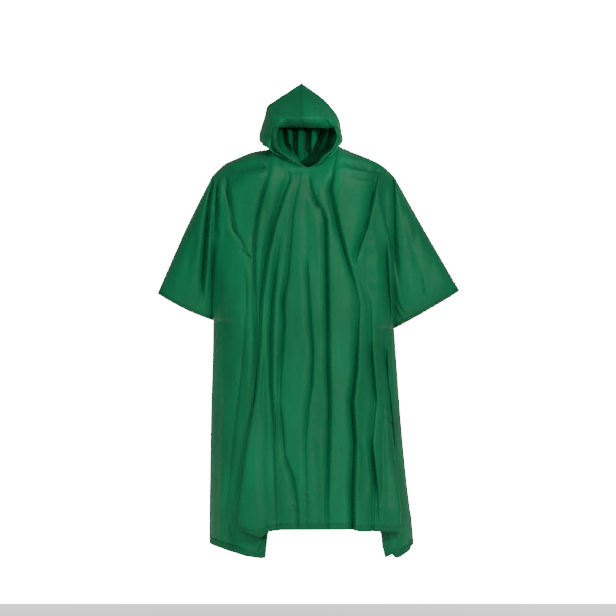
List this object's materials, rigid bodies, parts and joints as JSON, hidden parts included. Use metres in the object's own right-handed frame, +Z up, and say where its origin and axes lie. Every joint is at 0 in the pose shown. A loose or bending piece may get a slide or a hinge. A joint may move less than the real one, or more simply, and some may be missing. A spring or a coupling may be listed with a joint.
{
  "type": "hooded rain poncho",
  "caption": "Hooded rain poncho in thin coated cloth, hollow as worn, with wide kimono sleeves, a pointed hood with a gathered neck, and a draped hem that dips at both sides",
  "frame": {"origin": "the middle of the neck at the height of the shoulders, where a wearer's shoulders hold the poncho", "axes": "+Z is up along the body, +X runs across the shoulders to the right of a person looking at the front, -Y is the front"},
  "size_m": [0.8772, 0.3385, 1.374],
  "materials": {
    "coated_cloth": "smooth coated rain cloth with a soft satin sheen",
    "hood_cloth": "smooth coated rain cloth with a soft satin sheen",
    "hem_band": "turned edge held by two rows of stitches, slightly darker"
  },
  "bodies": {
    "root": {"front_panel": "coated_cloth", "back_panel": "coated_cloth", "hood_left": "hood_cloth", "hood_right": "hood_cloth", "hood_left_face_band": "hem_band", "hood_right_face_band": "hem_band", "front_hem_band": "hem_band", "back_hem_band": "hem_band", "front_left_sleeve_band": "hem_band", "front_right_sleeve_band": "hem_band", "back_left_sleeve_band": "hem_band", "back_right_sleeve_band": "hem_band"}
  },
  "joints": []
}
